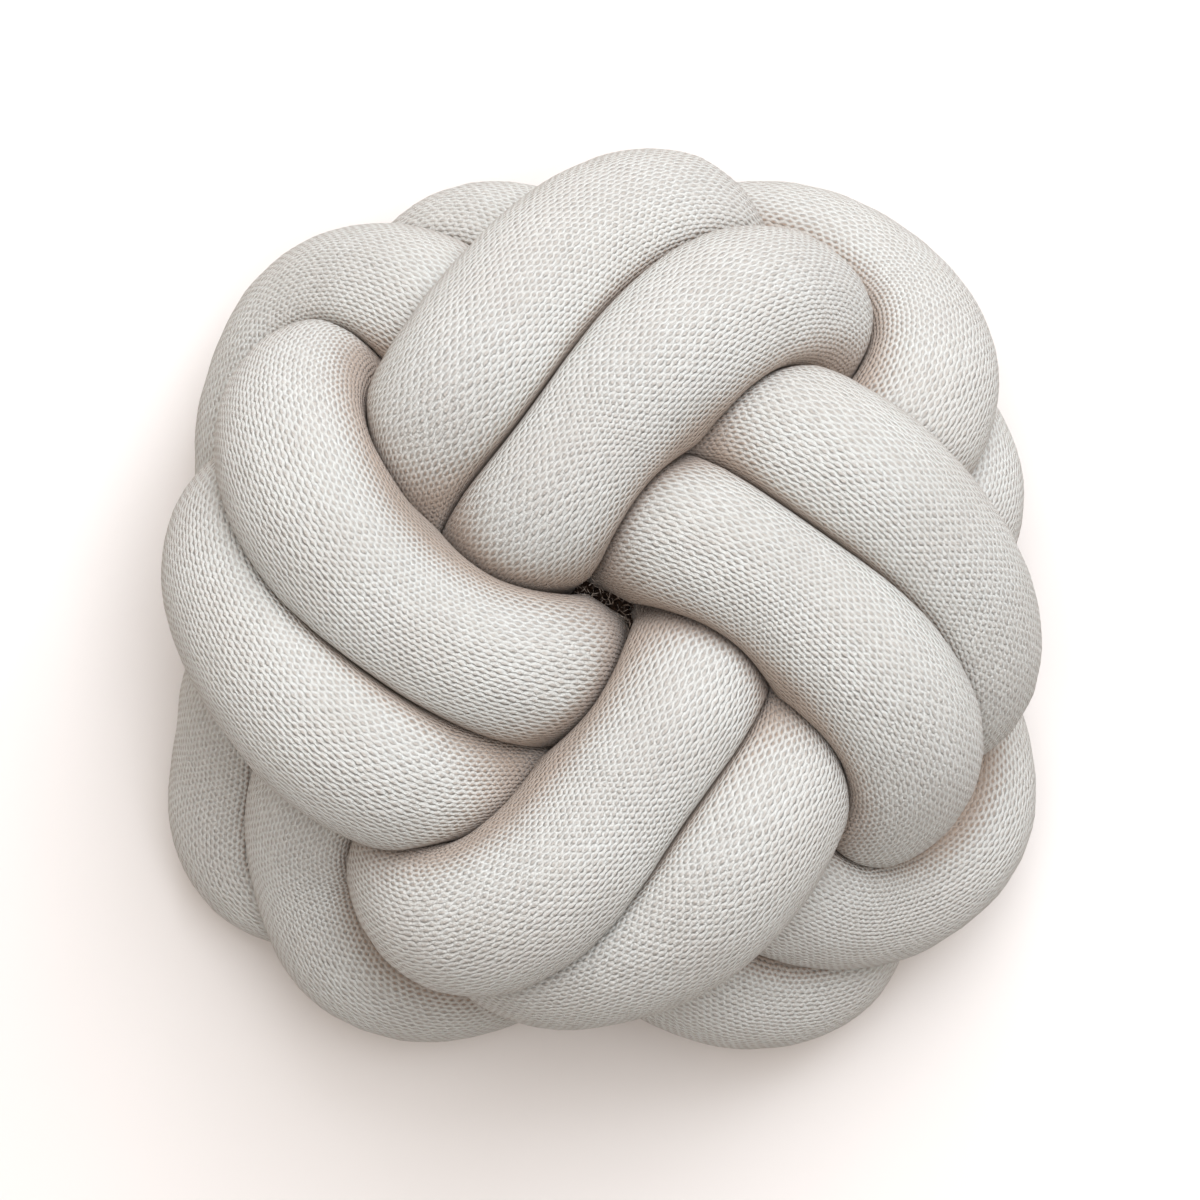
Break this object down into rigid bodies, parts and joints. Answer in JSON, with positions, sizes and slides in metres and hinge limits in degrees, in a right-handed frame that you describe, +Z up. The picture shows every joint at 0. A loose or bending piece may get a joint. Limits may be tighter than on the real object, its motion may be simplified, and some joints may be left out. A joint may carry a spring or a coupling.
{
  "type": "knot cushion",
  "caption": "Round scatter cushion made of a stuffed, finely knitted ecru tube that is worked twice side by side into a flattened ball knot.",
  "frame": {"origin": "centre of the footprint, on the surface the cushion lies on", "axes": "+Z up out of the knot's face, square to the surface; +Y towards the top edge of the picture, +X to its right"},
  "size_m": [0.3006, 0.306, 0.1584],
  "materials": {
    "knit": "soft matte melange knit in ecru and pale grey-beige"
  },
  "bodies": {
    "root": {"knotted_tube": "knit"}
  },
  "joints": []
}
